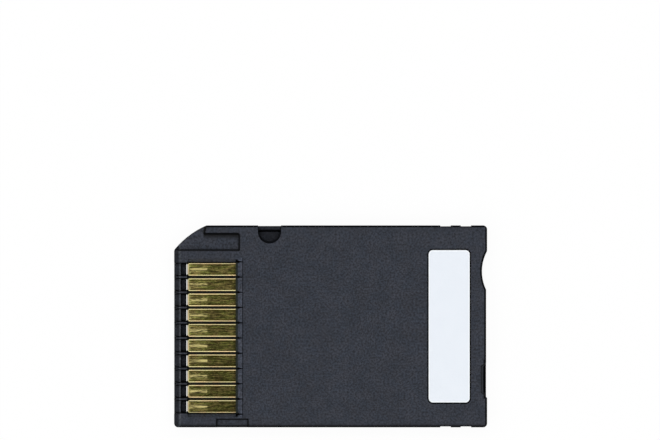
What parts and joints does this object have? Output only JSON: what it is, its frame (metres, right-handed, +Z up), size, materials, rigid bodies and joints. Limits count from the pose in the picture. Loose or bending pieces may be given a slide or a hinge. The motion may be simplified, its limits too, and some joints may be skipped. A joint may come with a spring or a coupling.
{
  "type": "flash memory card",
  "caption": "Thin rectangular flash memory card with a cut corner, a row of recessed gold contacts at one end, edge notches and a white writing strip; slides into a reader slot.",
  "frame": {"origin": "middle of the label face, which is the face the card lies on", "axes": "+X along the card towards the rear end, away from the contacts; +Y across the card towards the side with the cut corner; +Z up, out of the contact face"},
  "size_m": [0.031, 0.02, 0.0016],
  "materials": {
    "shell_plastic": "fine grain",
    "label_shell_plastic": "fine grain",
    "board_laminate": "solder mask",
    "contact_gold": "brushed gold plate",
    "package_epoxy": "moulded",
    "capacitor_ceramic": "matt",
    "resistor_ceramic": "matt",
    "label_film": "satin film"
  },
  "bodies": {
    "root": {"contact_shell": "shell_plastic", "label_shell": "label_shell_plastic", "circuit_board": "board_laminate", "write_on_label": "label_film", "contact_01": "contact_gold", "contact_02": "contact_gold", "contact_03": "contact_gold", "contact_04": "contact_gold", "contact_05": "contact_gold", "contact_06": "contact_gold", "contact_07": "contact_gold", "contact_08": "contact_gold", "contact_09": "contact_gold", "contact_10": "contact_gold", "memory_chip": "package_epoxy", "controller_chip": "package_epoxy", "capacitor_1": "capacitor_ceramic", "capacitor_2": "capacitor_ceramic", "capacitor_3": "capacitor_ceramic", "capacitor_4": "capacitor_ceramic", "capacitor_5": "capacitor_ceramic", "capacitor_6": "capacitor_ceramic", "resistor_1": "resistor_ceramic", "resistor_2": "resistor_ceramic", "resistor_3": "resistor_ceramic", "resistor_4": "resistor_ceramic"}
  },
  "joints": []
}
